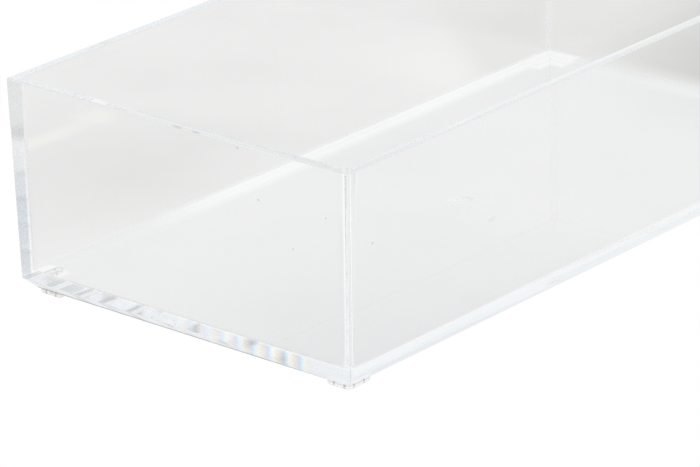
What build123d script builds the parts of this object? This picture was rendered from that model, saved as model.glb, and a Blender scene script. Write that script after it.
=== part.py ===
from build123d import *
from math import radians, tan
import os

# Clear plastic storage tray: an open, one-piece moulded body on four small
# L-shaped feet, one under each corner, each held by four pins of the body.
# The origin is on the surface it stands on, under the middle of the tray.
# X runs across the short way, Y along the long way, and -Y is the near end.

# Body, in millimetres and degrees
rim_width = 101.6
rim_length = 201.0
body_height = 51.8
draft_angle = 1.33
pocket_draft_angle = 1.0
rim_wall = 2.6
floor_thickness = 4.7
base_chamfer = 2.7
outer_corner_radius = 0.4
inner_corner_radius = 1.2
inner_floor_radius = 0.6
rim_radius = 0.3

# Gate: a shallow dish in the middle of the underside, with a short stub where the plastic came in
gate_dish_diameter = 8.4
gate_dish_depth = 0.35
gate_stub_diameter = 1.6
gate_stub_clearance = 0.1

# Feet
foot_height = 1.05
foot_leg_width = 2.2
foot_short_leg = 6.8
foot_long_leg = 8.1
foot_corner_radius = 1.4
foot_inner_radius = 0.5
foot_edge_radius = 0.2
foot_edge_gap = 0.05

# Pins of the body in the feet: where along a leg, as a share of the leg
pin_diameter = 0.7
pin_length = 0.8
pin_clearance = 0.05
pin_places = (0.28, 0.71)

# How far a cutter runs past the face that it opens
overrun = 1.0

# Levels and sizes that follow from the values above
chamfer_level = foot_height + base_chamfer
floor_level = foot_height + floor_thickness
rim_level = foot_height + body_height


def narrowing(level, angle):
    """How much narrower and shorter a leaning side is at a level than at the rim."""
    return 2 * (rim_level - level) * tan(radians(angle))


chamfer_width = rim_width - narrowing(chamfer_level, draft_angle)
chamfer_length = rim_length - narrowing(chamfer_level, draft_angle)
underside_width = chamfer_width - 2 * base_chamfer
underside_length = chamfer_length - 2 * base_chamfer
pocket_width = rim_width - 2 * rim_wall - narrowing(floor_level, pocket_draft_angle)
pocket_length = rim_length - 2 * rim_wall - narrowing(floor_level, pocket_draft_angle)
gate_dish_level = foot_height + gate_dish_depth
gate_dish_radius = ((gate_dish_diameter / 2) ** 2 + gate_dish_depth**2) / (2 * gate_dish_depth)
foot_corner_x = underside_width / 2 - foot_edge_gap
foot_corner_y = underside_length / 2 - foot_edge_gap

# The four corners: name of the foot, side in X, side in Y
corners = [
    ("foot_front_left", -1, -1),
    ("foot_front_right", 1, -1),
    ("foot_back_left", -1, 1),
    ("foot_back_right", 1, 1),
]


def leg_point(side_x, side_y, along_x, along_y):
    """A point measured inwards from the outer corner of one foot."""
    return (side_x * (foot_corner_x - along_x), side_y * (foot_corner_y - along_y))


def pin_points(side_x, side_y):
    """The middles of the two pins in each leg of one foot."""
    middle = foot_leg_width / 2
    on_short = [leg_point(side_x, side_y, foot_short_leg * share, middle) for share in pin_places]
    on_long = [leg_point(side_x, side_y, middle, foot_long_leg * share) for share in pin_places]
    return on_short + on_long


def make_tray_body():
    """The drafted box with its pocket, its chamfered base, its gate mark and its pins."""
    with BuildPart() as body:
        with BuildSketch(Plane.XY.offset(foot_height)):
            RectangleRounded(underside_width, underside_length, outer_corner_radius)
        with BuildSketch(Plane.XY.offset(chamfer_level)):
            RectangleRounded(chamfer_width, chamfer_length, outer_corner_radius)
        with BuildSketch(Plane.XY.offset(rim_level)):
            RectangleRounded(rim_width, rim_length, outer_corner_radius)
        loft(ruled=True)

        with BuildSketch(Plane.XY.offset(floor_level)):
            RectangleRounded(pocket_width, pocket_length, inner_corner_radius)
        extrude(amount=rim_level - floor_level + overrun, taper=-pocket_draft_angle, mode=Mode.SUBTRACT)

        _, pocket_floor, rim = body.faces().filter_by(Axis.Z).sort_by(Axis.Z)
        fillet(pocket_floor.edges(), inner_floor_radius)
        fillet(rim.edges(), rim_radius)

        with Locations((0, 0, gate_dish_level - gate_dish_radius)):
            Sphere(gate_dish_radius, mode=Mode.SUBTRACT)
        with BuildSketch(Plane.XY.offset(foot_height + gate_stub_clearance)):
            Circle(gate_stub_diameter / 2)
        extrude(amount=gate_dish_depth - gate_stub_clearance)

        with BuildSketch(Plane.XY.offset(foot_height)):
            for _, side_x, side_y in corners:
                with Locations(*pin_points(side_x, side_y)):
                    Circle(pin_diameter / 2)
        extrude(amount=-pin_length)
    return body


def make_foot(side_x, side_y):
    """One L-shaped foot with round ends and a hole for each pin."""
    straight_short = foot_short_leg - foot_leg_width / 2
    straight_long = foot_long_leg - foot_leg_width / 2
    middle = foot_leg_width / 2
    with BuildPart() as foot:
        with BuildSketch():
            with Locations(leg_point(side_x, side_y, straight_short / 2, middle)):
                Rectangle(straight_short, foot_leg_width)
            with Locations(leg_point(side_x, side_y, middle, straight_long / 2)):
                Rectangle(foot_leg_width, straight_long)
            with Locations(
                leg_point(side_x, side_y, straight_short, middle),
                leg_point(side_x, side_y, middle, straight_long),
            ):
                Circle(foot_leg_width / 2)
        extrude(amount=foot_height)
        upright = foot.edges().filter_by(Axis.Z)
        outer_corner = Vector(*leg_point(side_x, side_y, 0, 0))
        inner_corner = Vector(*leg_point(side_x, side_y, foot_leg_width, foot_leg_width))
        fillet(upright.sort_by_distance(outer_corner)[0], foot_corner_radius)
        fillet(upright.sort_by_distance(inner_corner)[0], foot_inner_radius)
        fillet(foot.faces().sort_by(Axis.Z)[0].edges(), foot_edge_radius)
        with Locations(*[(x, y, foot_height) for x, y in pin_points(side_x, side_y)]):
            Hole(pin_diameter / 2 + pin_clearance)
    return foot


def main():
    """Build each piece and write it as its own file."""
    os.makedirs("parts", exist_ok=True)
    tray_body = make_tray_body()
    tray_body.part.label = "tray_body"
    export_step(tray_body.part, "parts/tray_body.step")
    for name, side_x, side_y in corners:
        foot = make_foot(side_x, side_y)
        foot.part.label = name
        export_step(foot.part, f"parts/{name}.step")


main()
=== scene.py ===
from math import radians

import bpy
from mathutils import Euler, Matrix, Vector


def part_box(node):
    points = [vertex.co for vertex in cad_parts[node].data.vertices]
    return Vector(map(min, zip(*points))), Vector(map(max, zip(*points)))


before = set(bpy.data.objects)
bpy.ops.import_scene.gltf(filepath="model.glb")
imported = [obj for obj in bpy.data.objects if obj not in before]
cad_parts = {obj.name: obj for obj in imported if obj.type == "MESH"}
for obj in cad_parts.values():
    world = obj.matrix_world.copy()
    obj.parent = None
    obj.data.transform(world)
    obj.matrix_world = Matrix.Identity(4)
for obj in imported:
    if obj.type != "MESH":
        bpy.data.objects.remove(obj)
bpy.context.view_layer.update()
print("frame loaded:", len(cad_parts), "nodes")


def deselectAll():
    bpy.ops.object.select_all(action="DESELECT")


deselectAll()
mm = 0.001
clear = (1.0, 1.0, 1.0, 1.0)

# the camera: a long lens, turned and tilted like the photograph's
cameraSpot = {
    "turn": 40.259,  # degrees from +Y towards -X
    "lookDown": 21.477,
    "roll": -0.888,
    "lens": 243.74,  # mm
    "sensor": 36.0,
    "distance": 1.0181,  # metres, from the lens to the plane of the near top corner
    "nearCornerPixel": (347.8, 174.8),
    "pictureWidth": 700,
    "pictureHeight": 467,
    "nearestSeen": 0.01,
}


def addCamera(spot):
    turn = Euler((0, 0, radians(spot["turn"]))).to_matrix()
    tilt = Euler((radians(90 - spot["lookDown"]), 0, 0)).to_matrix()
    roll = Euler((0, 0, radians(spot["roll"]))).to_matrix()
    view = turn @ tilt @ roll
    pixelSize = spot["distance"] * spot["sensor"] / spot["lens"] / spot["pictureWidth"]
    across = (spot["nearCornerPixel"][0] - spot["pictureWidth"] / 2) * pixelSize
    above = (spot["pictureHeight"] / 2 - spot["nearCornerPixel"][1]) * pixelSize
    low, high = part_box("tray_body")
    nearTopCorner = Vector((high[0], low[1], high[2]))
    bpy.ops.object.camera_add(location=nearTopCorner - view @ Vector((across, above, -spot["distance"])))
    camera = bpy.context.object
    camera.name = "productCamera"
    camera.rotation_euler = view.to_euler()
    camera.data.lens = spot["lens"]
    camera.data.sensor_width = spot["sensor"]
    camera.data.clip_start = spot["nearestSeen"]
    bpy.context.scene.camera = camera
    deselectAll()
    print("camera added")


addCamera(cameraSpot)


# short helpers for building node trees
def newMaterial(name):
    material = bpy.data.materials.new(name)
    material.use_nodes = True
    material.node_tree.nodes.clear()
    return material, material.node_tree


def addNode(tree, kind, values=None, **settings):
    node = tree.nodes.new(kind)
    for setting, value in settings.items():
        setattr(node, setting, value)
    for socket, value in (values or {}).items():
        if isinstance(value, bpy.types.NodeSocket):
            tree.links.new(value, node.inputs[socket])
        else:
            node.inputs[socket].default_value = value
    return node


def calc(tree, operation, *values):
    return addNode(tree, "ShaderNodeMath", dict(enumerate(values)), operation=operation).outputs[0]


def product(tree, *values):
    result = values[0]
    for value in values[1:]:
        result = calc(tree, "MULTIPLY", result, value)
    return result


def smooth(tree, value, start, end):
    values = {"Value": value, "From Min": start, "From Max": end}
    return addNode(tree, "ShaderNodeMapRange", values, interpolation_type="SMOOTHSTEP").outputs[0]


def blend(tree, share, first, second):
    return addNode(tree, "ShaderNodeMix", {0: share, 6: first, 7: second}, data_type="RGBA").outputs[2]


def clamped(tree, value, low, high):
    return addNode(tree, "ShaderNodeClamp", {"Value": value, "Min": low, "Max": high}).outputs[0]


def placeOf(tree):
    return addNode(tree, "ShaderNodeTexCoord").outputs["Object"]


def split(tree, vector):
    parts = addNode(tree, "ShaderNodeSeparateXYZ", {0: vector}).outputs
    return parts["X"], parts["Y"], parts["Z"]


def scaled(tree, vector, share):
    return addNode(tree, "ShaderNodeVectorMath", {0: vector, "Scale": share}, operation="SCALE").outputs[0]


def stretched(tree, vector, shares):
    return addNode(tree, "ShaderNodeVectorMath", {0: vector, 1: shares}, operation="MULTIPLY").outputs[0]


def nearTo(tree, place, spot, reach, core=0.0):
    distance = addNode(tree, "ShaderNodeVectorMath", {0: place, 1: spot}, operation="DISTANCE")
    return smooth(tree, distance.outputs["Value"], reach, core)


# marks and painted shade on the tray body, in millimetres of the tray's frame; a pair says where a soft edge
# starts and ends
bodyMarksAndPaintedShade = {
    "chamferTop": 3.75,
    "frontBand": {
        "front": -99.3,
        "depth": (0.9, 0.6),
        "top": (6.4, 6.0),
        "tone": (0.855, 0.89, 0.94, 1.0),
    },
    "scallops": {
        "start": -37.8,
        "step": 7.45,
        "middle": 3.2,
        "bend": -0.7,
        "width": (0.24, 0.04),  # as a share of the step
        "rightEnd": (7.0, -2.0),
        "foot": (1.8, 3.0),
        "tone": (0.84, 0.86, 0.88, 1.0),
    },
    "fringes": {
        "start": 7.1,
        "step": 4.635,
        "lean": 0.85,
        "growth": (-14.0, 34.0),
        "rightEnd": (37.8, 36.6),
        "tones": (
            (0.00, (0.48, 0.62, 1.00, 1.0)),
            (0.20, (0.76, 0.98, 1.00, 1.0)),
            (0.40, (1.00, 1.00, 0.86, 1.0)),
            (0.64, (0.92, 0.76, 0.60, 1.0)),
            (0.86, (0.72, 0.62, 0.72, 1.0)),
            (1.00, (0.48, 0.62, 1.00, 1.0)),
        ),
    },
    "leftWallEnd": {
        "depth": (0.9, 0.6),
        "across": (-46.2, -46.7),
        "top": (42.0, 22.0),
        "foot": (3.0, 6.0),
        "tone": (0.56, 0.60, 0.65, 1.0),
    },
    "rightBand": {
        "side": 49.66,
        "depth": (0.5, 0.3),
        "top": (5.2, 4.2),
        "foot": (1.2, 1.8),
        "tone": (0.95, 0.98, 1.0, 1.0),
        "streakStretch": (0.5, 0.05, 1.0),
        "streaksPerMm": 0.9,
        "streakDetail": 1.0,
        "streakEdge": (0.30, 0.55),
        "streakTone": (0.86, 0.90, 0.95, 1.0),
    },
    "frontContactShadow": {
        "top": (1.75, 1.45),
        "rightEnd": (46.0, 22.0),
        "tone": (0.17, 0.17, 0.17, 1.0),
    },
    "pins": {
        "top": 1.0,
        "leftToRight": (-20.0, 0.0),
        "leftTone": (0.85, 0.85, 0.85, 1.0),
        "rightTone": (0.50, 0.50, 0.50, 1.0),
    },
    # each spot is x, y, z, how far it reaches, and its core of full tone
    "specks": {
        "spots": (
            (19.2, -100.4, 51.8, 0.40, 0.20),
            (24.8, -100.2, 40.8, 0.40, 0.20),
            (34.4, -100.0, 31.5, 0.32, 0.16),
            (44.1, -100.2, 41.1, 0.32, 0.16),
            (50.4, -92.0, 34.3, 0.42, 0.21),
        ),
        "stretch": (1.0, 1.0, 1.0),
        "tone": (0.60, 0.60, 0.62, 1.0),
    },
    "nicks": {
        "spots": (
            (1.5, -100.5, 52.8, 0.56, 0.224),
            (7.0, -100.5, 52.75, 0.42, 0.168),
        ),
        "stretch": (0.25, 1.0, 1.0),
        "tone": (0.72, 0.70, 0.60, 1.0),
    },
    "smear": {
        "spots": ((50.2, -50.0, 26.9, 0.9, 0.2),),
        "stretch": (1.0, 0.4, 1.0),
        "tone": (0.88, 0.88, 0.91, 1.0),
    },
}


def repeated(tree, value, settings):
    step = settings["step"]
    turns = calc(tree, "MULTIPLY_ADD", value, 1 / step, -settings["start"] / step)
    return calc(tree, "FRACT", turns)


# painted shade: soft scallops in the left half of the front band, each bent like a parabola
def addScallops(tree, settings, x, z, tone):
    up = calc(tree, "SUBTRACT", z, settings["middle"])
    bent = calc(tree, "MULTIPLY_ADD", calc(tree, "MULTIPLY", up, up), settings["bend"], x)
    scallop = product(
        tree,
        smooth(tree, repeated(tree, bent, settings), *settings["width"]),
        smooth(tree, x, *settings["rightEnd"]),
        smooth(tree, z, *settings["foot"]),
    )
    return blend(tree, scallop, tone, settings["tone"])


# painted light: colour fringes in the right half, growing towards the near corner
def addFringes(tree, settings, x, inwards, tone):
    leaning = calc(tree, "MULTIPLY_ADD", inwards, settings["lean"], x)
    ramp = addNode(tree, "ShaderNodeValToRGB", {0: repeated(tree, leaning, settings)})
    elements = ramp.color_ramp.elements
    for index, (position, colour) in enumerate(settings["tones"]):
        element = elements[index] if index < len(elements) else elements.new(position)
        element.position = position
        element.color = colour
    shown = product(tree, smooth(tree, x, *settings["growth"]), smooth(tree, leaning, *settings["rightEnd"]))
    return blend(tree, shown, tone, ramp.outputs[0])


def addSpots(tree, settings, place, paint):
    stretch = settings["stretch"]
    drawnOut = stretched(tree, place, stretch)
    for x, y, z, reach, core in settings["spots"]:
        middle = (x * stretch[0], y * stretch[1], z * stretch[2])
        paint = blend(tree, nearTo(tree, drawnOut, middle, reach, core), paint, settings["tone"])
    return paint


def paintBody(tree, settings):
    place = scaled(tree, placeOf(tree), 1 / mm)
    x, y, z = split(tree, place)
    below = calc(tree, "MAXIMUM", calc(tree, "SUBTRACT", settings["chamferTop"], z), 0.0)

    # painted shade: the base of the front wall, chamfer included, a little darker and bluer
    front = settings["frontBand"]
    inwards = calc(tree, "SUBTRACT", y, front["front"])
    inside = calc(tree, "SUBTRACT", inwards, below)
    band = product(tree, smooth(tree, inside, *front["depth"]), smooth(tree, z, *front["top"]))
    tone = addScallops(tree, settings["scallops"], x, z, front["tone"])
    tone = addFringes(tree, settings["fringes"], x, inwards, tone)
    paint = blend(tree, band, clear, tone)

    # painted shade: the end of the left wall is bluer and darker towards its foot
    end = settings["leftWallEnd"]
    shown = product(
        tree,
        smooth(tree, inwards, *end["depth"]),
        smooth(tree, x, *end["across"]),
        smooth(tree, z, *end["top"]),
        smooth(tree, z, *end["foot"]),
    )
    paint = blend(tree, shown, paint, end["tone"])

    # painted shade: long pale streaks in the chamfer along the right side
    right = settings["rightBand"]
    inside = calc(tree, "SUBTRACT", calc(tree, "SUBTRACT", right["side"], x), below)
    shown = product(
        tree,
        smooth(tree, inside, *right["depth"]),
        smooth(tree, z, *right["top"]),
        smooth(tree, z, *right["foot"]),
    )
    paint = blend(tree, shown, paint, right["tone"])
    drawnOut = stretched(tree, place, right["streakStretch"])
    values = {"Vector": drawnOut, "Scale": right["streaksPerMm"], "Detail": right["streakDetail"]}
    noise = addNode(tree, "ShaderNodeTexNoise", values).outputs[0]
    streaks = calc(tree, "MULTIPLY", shown, smooth(tree, noise, *right["streakEdge"]))
    paint = blend(tree, streaks, paint, right["streakTone"])

    # painted contact shadow: the dark line under the front wall
    line = settings["frontContactShadow"]
    shown = product(tree, band, smooth(tree, z, *line["top"]), smooth(tree, x, *line["rightEnd"]))
    paint = blend(tree, shown, paint, line["tone"])

    # painted shade on the pins in the two near feet, darker on the right
    pins = settings["pins"]
    tone = blend(tree, smooth(tree, x, *pins["leftToRight"]), pins["leftTone"], pins["rightTone"])
    shown = calc(tree, "MULTIPLY", calc(tree, "LESS_THAN", z, pins["top"]), calc(tree, "LESS_THAN", y, 0.0))
    paint = blend(tree, shown, paint, tone)

    for spots in ("specks", "nicks", "smear"):
        paint = addSpots(tree, settings[spots], place, paint)
    return paint


# painted shade on the near feet: a contact shadow along the lower edge and dark outlines, in millimetres
# above the ground; the left foot is darker
footPaintedShade = {
    "lowerEdge": (0.25, 0.10),
    "upperEdge": (0.88, 0.98),
    "outlineShadeTone": (0.46, 0.46, 0.46, 1.0),
    "leftTone": (0.86, 0.845, 0.83, 1.0),
    "leftOutlineShadeTone": (0.26, 0.24, 0.23, 1.0),
}


def paintFoot(tree, settings):
    x, y, z = split(tree, scaled(tree, placeOf(tree), 1 / mm))
    lower = smooth(tree, z, *settings["lowerEdge"])
    upper = smooth(tree, z, *settings["upperEdge"])
    edges = calc(tree, "MAXIMUM", lower, upper)
    left = calc(tree, "LESS_THAN", x, 0.0)
    inside = blend(tree, left, clear, settings["leftTone"])
    outline = blend(tree, left, settings["outlineShadeTone"], settings["leftOutlineShadeTone"])
    near = blend(tree, edges, inside, outline)
    return blend(tree, calc(tree, "LESS_THAN", y, 0.0), clear, near)


# where the feet are cemented on, the light passes from plastic to plastic
contact = {
    "footLegWidth": 2.2 * mm,
    "depth": 0.02 * mm,
}


def underFeet(tree, settings):
    low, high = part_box("foot_back_right")
    half = settings["footLegWidth"] / 2
    x, y, z = split(tree, placeOf(tree))
    x = calc(tree, "ABSOLUTE", x)
    y = calc(tree, "ABSOLUTE", y)
    alongX = clamped(tree, x, low.x + half, high.x - half)
    alongY = clamped(tree, y, low.y + half, high.y - half)
    legs = []
    for middleX, middleY in ((alongX, high.y - half), (high.x - half, alongY)):
        acrossX = calc(tree, "SUBTRACT", x, middleX)
        acrossY = calc(tree, "SUBTRACT", y, middleY)
        across = addNode(tree, "ShaderNodeCombineXYZ", {0: acrossX, 1: acrossY}).outputs[0]
        distance = addNode(tree, "ShaderNodeVectorMath", {0: across}, operation="LENGTH").outputs["Value"]
        legs.append(calc(tree, "LESS_THAN", distance, half))
    level = calc(tree, "COMPARE", z, high.z, settings["depth"])
    return calc(tree, "MULTIPLY", calc(tree, "MAXIMUM", *legs), level)


# the clear plastic, water-clear with a slight blue tone that only shows along the long way through it
plastic = {
    "ior": 1.59,
    "tone": (0.80, 0.915, 1.0, 1.0),
    "density": 0.4,
    "roughness": 0.025,
    "wavesPerMetre": 90.0,
    "waveHeight": 0.012 * mm,
}


def clearPlastic(name, settings, paint, marksAndPaintedShade):
    material, tree = newMaterial(name)
    values = {"Vector": placeOf(tree), "Scale": settings["wavesPerMetre"], "Detail": 0.0}
    waves = addNode(tree, "ShaderNodeTexNoise", values).outputs[0]
    values = {"Strength": 1.0, "Distance": settings["waveHeight"], "Height": waves}
    bump = addNode(tree, "ShaderNodeBump", values).outputs[0]
    values = {
        "Base Color": paint(tree, marksAndPaintedShade),
        "Roughness": settings["roughness"],
        "IOR": settings["ior"],
        "Transmission Weight": 1.0,
        "Normal": bump,
    }
    surface = addNode(tree, "ShaderNodeBsdfPrincipled", values).outputs[0]
    joined = addNode(tree, "ShaderNodeBsdfTransparent").outputs[0]
    values = {0: underFeet(tree, contact), 1: surface, 2: joined}
    mixed = addNode(tree, "ShaderNodeMixShader", values).outputs[0]
    values = {"Color": settings["tone"], "Density": settings["density"]}
    inside = addNode(tree, "ShaderNodeVolumeAbsorption", values).outputs[0]
    addNode(tree, "ShaderNodeOutputMaterial", {"Surface": mixed, "Volume": inside})
    return material


def dress(node, material):
    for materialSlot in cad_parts[node].material_slots:
        materialSlot.material = material


bodyPlastic = clearPlastic("clearBodyPlastic", plastic, paintBody, bodyMarksAndPaintedShade)
footPlastic = clearPlastic("clearFootPlastic", plastic, paintFoot, footPaintedShade)
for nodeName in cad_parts:
    dress(nodeName, bodyPlastic if nodeName == "tray_body" else footPlastic)
print("plastic dressed")

# the table with painted pools of light and shade, as bright as the plastic shows it: places in metres, and
# pairs for soft edges as above
table = {
    "radius": 8.0,
    "sides": 64,
    "plainTone": (0.85, 0.85, 0.85, 1.0),
    "cameraWhite": 1.0,
    "trayHalf": (0.0505, 0.1000),  # half of the tray's width and length at its foot
    "trayEdge": (-0.001, 0.003),
    "underTray": (0.815, 0.815, 0.807, 1.0),
    "cornerShade": {
        "spot": (0.060, -0.082, 0.0),
        "reach": 0.110,
        "tone": (0.71, 0.715, 0.72, 1.0),
    },
    "farShade": {
        "spot": (0.010, 0.108, 0.0),
        "reach": 0.050,
        "tone": (0.71, 0.715, 0.71, 1.0),
    },
    "wallLine": {
        "across": (-0.0065, -0.002),
        "nearEnd": (-0.020, -0.068),
        "farEnd": (0.088, 0.096),
        "tone": (0.96, 0.965, 0.965, 1.0),
        "endTone": (0.82, 0.825, 0.825, 1.0),
    },
    "underFeet": {
        "fromSides": (-0.0115, -0.0095),
        "fromEnds": (-0.0130, -0.0110),
        "legWidth": (-0.0080, -0.0060),
        "tone": (0.95, 0.95, 0.94, 1.0),
    },
    "leftSide": (0.840, 0.840, 0.836, 1.0),
    "leftShade": {
        "spot": (-0.088, -0.024, 0.0),
        "reach": 0.055,
        "tone": (0.775, 0.775, 0.77, 1.0),
    },
    "leftBright": {
        "spot": (-0.080, 0.080, 0.0),
        "reach": 0.048,
        "tone": (0.885, 0.885, 0.88, 1.0),
    },
    "warmStreak": {
        "middle": -0.1195,
        "width": (0.0050, 0.001),
        "nearEnd": (-0.036, -0.026),
        "farEnd": (0.008, -0.014),
        "spot": (-0.1205, 0.002, 0.0),
        "reach": 0.008,
        "core": 0.002,
        "tone": (0.89, 0.88, 0.85, 1.0),
    },
    "behind": {
        "slant": 0.8,
        "start": (0.028, 0.042),
        "tone": (0.805, 0.805, 0.795, 1.0),
    },
    "darkBehind": {
        "slant": 0.3,
        "leftEnd": (-0.022, 0.024),
        "start": (0.110, 0.122),
        "tone": (0.60, 0.597, 0.58, 1.0),
    },
    "beyond": {
        "start": (0.140, 0.185),
        "leftEnd": (-0.013, 0.002),
        "tone": (0.80, 0.80, 0.80, 1.0),
    },
    "frontAndRight": {
        "rightStart": (0.045, 0.065),
        "rightEnd": (0.115, 0.095),
        "frontStart": (-0.095, -0.115),
        "frontEnd": (-0.08, -0.04),
        "tone": (0.98, 0.98, 0.98, 1.0),
    },
    "clouds": {
        "perMetre": 28.0,
        "detail": 3.0,
        "edge": (0.35, 0.75),
        "shade": 0.965,
    },
}


def addShade(tree, settings, place, tone):
    return blend(tree, nearTo(tree, place, settings["spot"], settings["reach"]), tone, settings["tone"])


def glowUnderTray(tree, settings, place, y, besideX, besideY, beside):
    tone = addShade(tree, settings["cornerShade"], place, settings["underTray"])
    tone = addShade(tree, settings["farShade"], place, tone)

    # the walls bring light down to a line along their feet, weaker at both ends
    line = settings["wallLine"]
    ends = calc(tree, "MAXIMUM", smooth(tree, y, *line["nearEnd"]), smooth(tree, y, *line["farEnd"]))
    lineTone = blend(tree, ends, line["tone"], line["endTone"])
    tone = blend(tree, smooth(tree, beside, *line["across"]), tone, lineTone)

    # painted light: a brighter patch of table under the feet
    feet = settings["underFeet"]
    shown = calc(
        tree,
        "MINIMUM",
        smooth(tree, besideX, *feet["fromSides"]),
        smooth(tree, besideY, *feet["fromEnds"]),
    )
    shown = calc(tree, "MINIMUM", shown, smooth(tree, beside, *feet["legWidth"]))
    return blend(tree, shown, tone, feet["tone"])


def glowAroundTray(tree, settings, place, x, y):
    tone = addShade(tree, settings["leftShade"], place, settings["leftSide"])
    tone = addShade(tree, settings["leftBright"], place, tone)

    # painted light: a pale warm streak on the left, with a round end
    streak = settings["warmStreak"]
    across = calc(tree, "ABSOLUTE", calc(tree, "SUBTRACT", x, streak["middle"]))
    along = calc(tree, "MULTIPLY", smooth(tree, y, *streak["nearEnd"]), smooth(tree, y, *streak["farEnd"]))
    shown = calc(tree, "MULTIPLY", smooth(tree, across, *streak["width"]), along)
    roundEnd = nearTo(tree, place, streak["spot"], streak["reach"], streak["core"])
    tone = blend(tree, calc(tree, "MAXIMUM", shown, roundEnd), tone, streak["tone"])

    # behind the tray, then the dark part near its far left corner, then further away and to the right
    behind = settings["behind"]
    slant = calc(tree, "MULTIPLY_ADD", x, behind["slant"], y)
    tone = blend(tree, smooth(tree, slant, *behind["start"]), tone, behind["tone"])
    dark = settings["darkBehind"]
    steeper = calc(tree, "MULTIPLY_ADD", y, dark["slant"], x)
    shown = product(tree, smooth(tree, steeper, *dark["leftEnd"]), smooth(tree, y, *dark["start"]))
    tone = blend(tree, shown, tone, dark["tone"])
    beyond = settings["beyond"]
    shown = calc(tree, "MAXIMUM", smooth(tree, slant, *beyond["start"]), smooth(tree, x, *beyond["leftEnd"]))
    tone = blend(tree, shown, tone, beyond["tone"])

    # nearly white on the right and in front
    pale = settings["frontAndRight"]
    right = calc(tree, "MULTIPLY", smooth(tree, x, *pale["rightStart"]), smooth(tree, y, *pale["rightEnd"]))
    front = calc(tree, "MULTIPLY", smooth(tree, y, *pale["frontStart"]), smooth(tree, x, *pale["frontEnd"]))
    return blend(tree, calc(tree, "MAXIMUM", right, front), tone, pale["tone"])


def tableGlow(tree, settings):
    place = placeOf(tree)
    x, y, z = split(tree, place)
    halfWidth, halfLength = settings["trayHalf"]
    besideX = calc(tree, "SUBTRACT", calc(tree, "ABSOLUTE", x), halfWidth)
    besideY = calc(tree, "SUBTRACT", calc(tree, "ABSOLUTE", y), halfLength)
    beside = calc(tree, "MAXIMUM", besideX, besideY)
    under = glowUnderTray(tree, settings, place, y, besideX, besideY, beside)
    around = glowAroundTray(tree, settings, place, x, y)
    glow = blend(tree, smooth(tree, beside, *settings["trayEdge"]), under, around)

    # painted shade: soft clouds a little darker here and there on the table
    clouds = settings["clouds"]
    values = {"Vector": place, "Scale": clouds["perMetre"], "Detail": clouds["detail"]}
    noise = addNode(tree, "ShaderNodeTexNoise", values).outputs[0]
    return blend(tree, smooth(tree, noise, *clouds["edge"]), glow, scaled(tree, glow, clouds["shade"]))


def seenInPlastic(tree, path):
    return calc(tree, "MAXIMUM", path["Is Glossy Ray"], path["Is Transmission Ray"])


def addTable(settings):
    bpy.ops.mesh.primitive_circle_add(vertices=settings["sides"], radius=settings["radius"], fill_type="NGON")
    floor = bpy.context.object
    floor.name = "studio_floor"
    material, tree = newMaterial("studioFloor")
    path = addNode(tree, "ShaderNodeLightPath").outputs
    plain = addNode(tree, "ShaderNodeBsdfDiffuse", {"Color": settings["plainTone"]}).outputs[0]
    white = addNode(tree, "ShaderNodeEmission", {"Strength": settings["cameraWhite"]}).outputs[0]
    glow = addNode(tree, "ShaderNodeEmission", {"Color": tableGlow(tree, settings)}).outputs[0]
    values = {0: seenInPlastic(tree, path), 1: plain, 2: glow}
    indirect = addNode(tree, "ShaderNodeMixShader", values).outputs[0]
    values = {0: path["Is Camera Ray"], 1: indirect, 2: white}
    mixed = addNode(tree, "ShaderNodeMixShader", values).outputs[0]
    addNode(tree, "ShaderNodeOutputMaterial", {"Surface": mixed})
    floor.data.materials.append(material)
    deselectAll()
    print("table added")


addTable(table)

# the room: soft white screens, as bright as the plastic shows them, by the direction in which they are seen
screens = {
    "cameraWhite": clear,
    "light": (0.8, 0.8, 0.8, 1.0),
    "left": (0.91, 0.935, 0.945, 1.0),
    "right": (0.98, 0.985, 0.985, 1.0),
    "leftToRight": (-0.5, 0.5),
    "high": (0.94, 0.945, 0.95, 1.0),
    "lowToHigh": (0.45, 0.6),
    "top": (0.98, 0.97, 0.96, 1.0),
    "highToTop": (0.75, 0.9),
}


def screenGlow(tree, settings):
    x, y, z = split(tree, addNode(tree, "ShaderNodeTexCoord").outputs["Generated"])
    low = blend(tree, smooth(tree, x, *settings["leftToRight"]), settings["left"], settings["right"])
    high = blend(tree, smooth(tree, z, *settings["highToTop"]), settings["high"], settings["top"])
    return blend(tree, smooth(tree, z, *settings["lowToHigh"]), low, high)


def addScreens(settings):
    world = bpy.data.worlds.new("studioRoom")
    bpy.context.scene.world = world
    world.use_nodes = True
    tree = world.node_tree
    tree.nodes.clear()
    path = addNode(tree, "ShaderNodeLightPath").outputs
    light = blend(tree, seenInPlastic(tree, path), settings["light"], screenGlow(tree, settings))
    color = blend(tree, path["Is Camera Ray"], light, settings["cameraWhite"])
    glow = addNode(tree, "ShaderNodeBackground", {"Color": color}).outputs[0]
    addNode(tree, "ShaderNodeOutputWorld", {"Surface": glow})
    print("screens added")


addScreens(screens)

# light passes the walls and the floor of the tray many times before it comes out
bounces = 256
scene = bpy.context.scene
scene.view_settings.view_transform = "Standard"
scene.cycles.max_bounces = bounces
scene.cycles.transmission_bounces = bounces
scene.cycles.glossy_bounces = bounces
